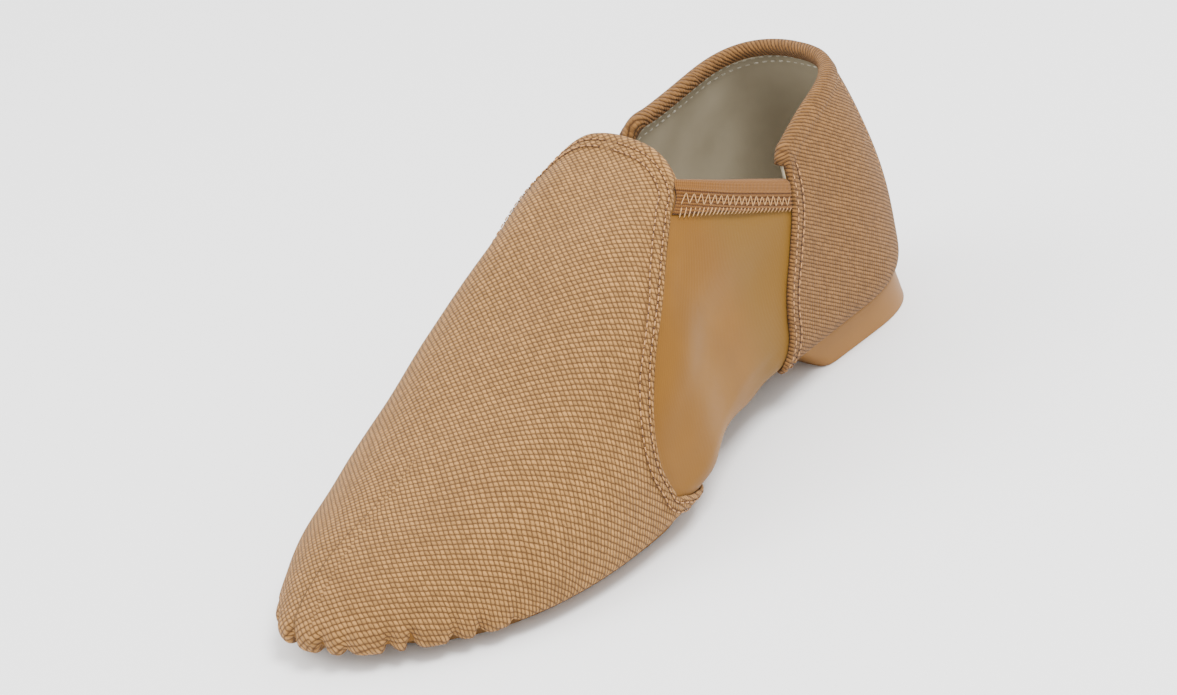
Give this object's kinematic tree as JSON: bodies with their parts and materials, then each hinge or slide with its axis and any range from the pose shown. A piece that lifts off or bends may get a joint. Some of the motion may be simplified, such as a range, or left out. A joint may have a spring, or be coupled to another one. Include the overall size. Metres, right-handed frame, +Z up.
{
  "type": "jazz shoe",
  "caption": "Low slip-on jazz dance shoe with a canvas vamp and quarter, stretch arch, elastic bindings at the sides, a forefoot pad and a separate heel block.",
  "frame": {"origin": "centre of the bounding box in plan, on the floor under the sole", "axes": "+X towards the toe, +Y towards the outer side of the foot, +Z up"},
  "size_m": [0.25, 0.1034, 0.096],
  "materials": {
    "upper": "matte stretch knit outside, beige lining inside",
    "vamp": "matte plain-weave canvas",
    "quarter": "matte plain-weave canvas",
    "binding_outer": "ribbed elastic with zigzag stitching",
    "binding_inner": "ribbed elastic with zigzag stitching",
    "insole": "smooth matte sheet",
    "forefoot_pad": "matte rubber with a fine pyramid tread",
    "heel_block": "matte foam rubber with a treaded underside"
  },
  "bodies": {
    "root": {"upper": "upper", "vamp": "vamp", "quarter": "quarter", "binding_outer": "binding_outer", "binding_inner": "binding_inner", "insole": "insole", "forefoot_pad": "forefoot_pad", "heel_block": "heel_block"}
  },
  "joints": []
}
